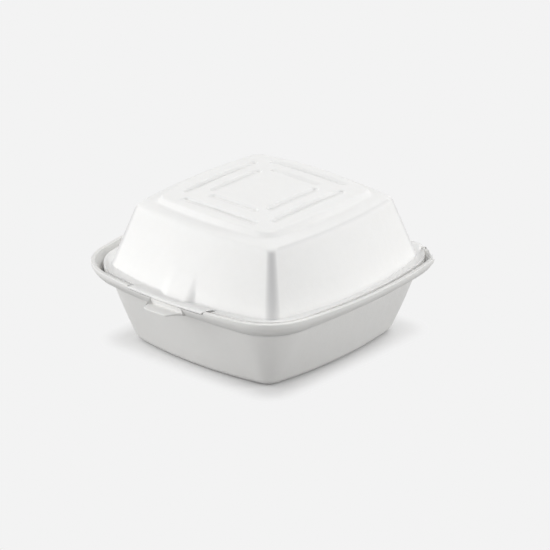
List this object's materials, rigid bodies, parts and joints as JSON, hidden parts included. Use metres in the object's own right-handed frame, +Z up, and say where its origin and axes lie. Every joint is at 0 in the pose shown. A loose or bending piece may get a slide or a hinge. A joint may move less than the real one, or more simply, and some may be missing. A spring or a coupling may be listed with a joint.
{
  "type": "foam clamshell food container",
  "caption": "Square foam takeaway box: a tub with a flared lip, and a domed lid with a grooved top, hinged at the back and held shut by a tongue at the front.",
  "frame": {"origin": "centre of the tub's flat foot, on the surface the closed box stands on", "axes": "+Z up, -Y towards the latch tongue at the front, +Y towards the hinge, +X to the right seen from the front"},
  "size_m": [0.152, 0.1559, 0.0829],
  "materials": {
    "foam_base": "fine closed-cell foam, soft satin",
    "foam_lid": "fine closed-cell foam, soft satin"
  },
  "bodies": {
    "base": {"base_tray": "foam_base"},
    "lid": {"lid": "foam_lid"}
  },
  "joints": [
    {"name": "lid_hinge", "type": "hinge", "parent": "base", "child": "lid", "pos_m": [0, 0.071, 0.0415], "axis": [-1, 0, 0], "range_deg": [0, 180]}
  ]
}
